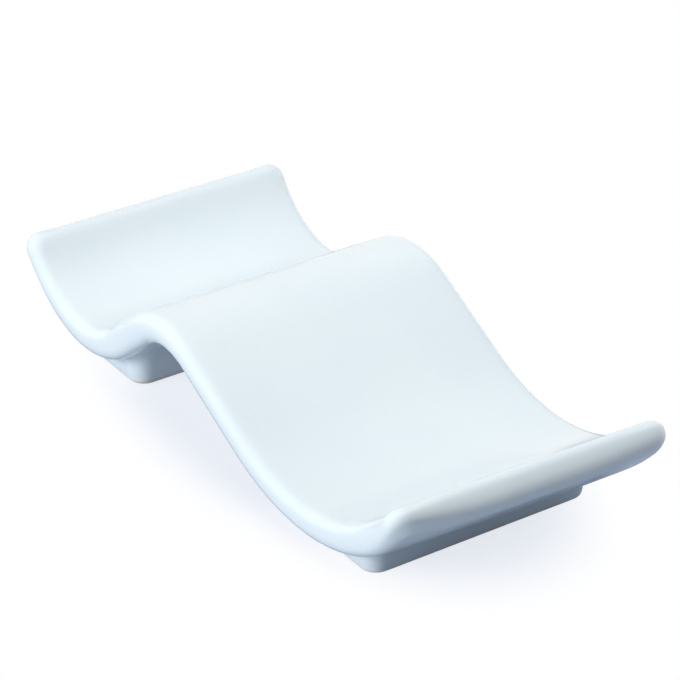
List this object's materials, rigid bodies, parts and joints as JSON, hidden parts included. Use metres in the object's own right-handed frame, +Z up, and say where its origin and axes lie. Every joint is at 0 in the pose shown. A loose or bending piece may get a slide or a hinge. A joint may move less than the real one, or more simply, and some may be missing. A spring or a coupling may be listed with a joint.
{
  "type": "chopstick rest",
  "caption": "Wave-shaped white porcelain table rest with a small trough for two thin sticks and a larger trough for a spoon, on two low foot rings.",
  "frame": {"origin": "on the table plane under the middle of the whole rest", "axes": "+X along the length from the smaller trough to the larger one, +Y across the width, +Z up from the table"},
  "size_m": [0.1164, 0.048, 0.0211],
  "materials": {
    "white_glaze": "glossy clear glaze over cool white porcelain",
    "foot_glaze": "glossy glaze on the walls, wiped bare on the standing rims"
  },
  "bodies": {
    "root": {"wave_plate": "white_glaze", "small_foot": "foot_glaze", "large_foot": "foot_glaze"}
  },
  "joints": []
}
